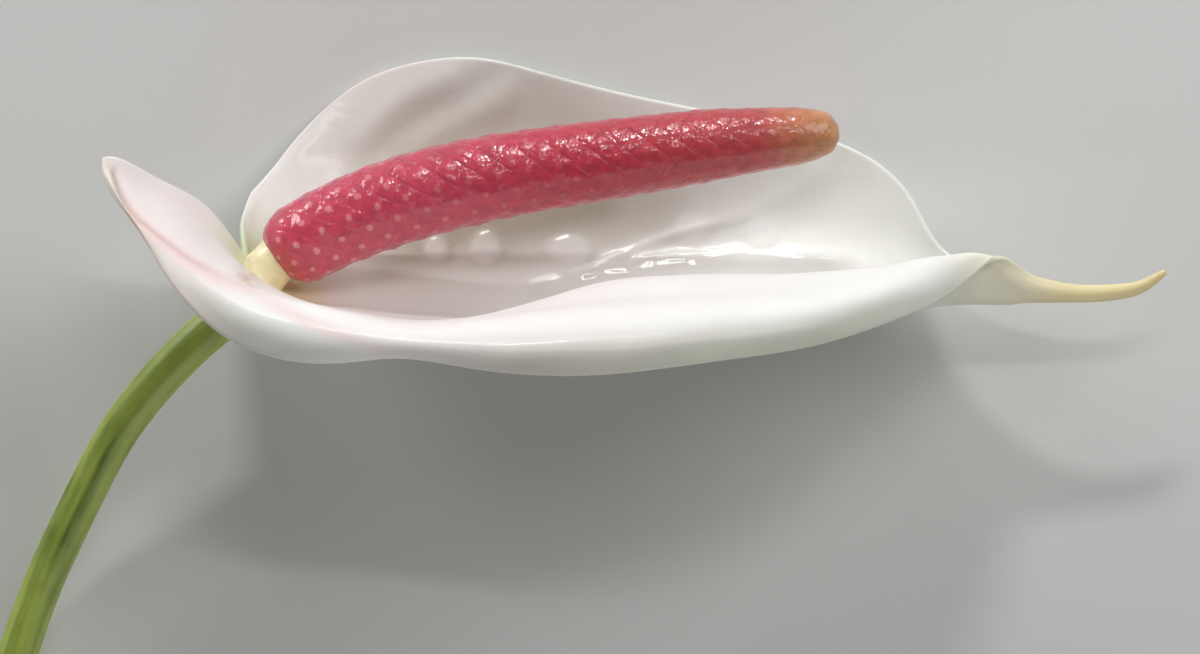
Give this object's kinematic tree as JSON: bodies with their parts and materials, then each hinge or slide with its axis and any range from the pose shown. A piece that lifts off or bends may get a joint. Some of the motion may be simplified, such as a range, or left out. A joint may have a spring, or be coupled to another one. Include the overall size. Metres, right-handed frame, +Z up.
{
  "type": "anthurium flower",
  "caption": "Cut anthurium bloom lying on its side, with a waxy white heart-shaped spathe, a rose spadix on a cream stipe and a green stalk.",
  "frame": {"origin": "middle of the bounding box's bottom, on the surface the bloom lies on", "axes": "+X along the spathe from its base to its tip, +Y towards the bloom's growing top, +Z up from the surface the bloom lies on"},
  "size_m": [0.1576, 0.1134, 0.0487],
  "materials": {
    "green_stalk": "satin",
    "waxy_white_bract": "satin",
    "cream_stipe": "satin",
    "rose_spadix": "satin"
  },
  "bodies": {
    "root": {"peduncle": "green_stalk", "spathe": "waxy_white_bract", "stipe": "cream_stipe", "spadix": "rose_spadix"}
  },
  "joints": []
}
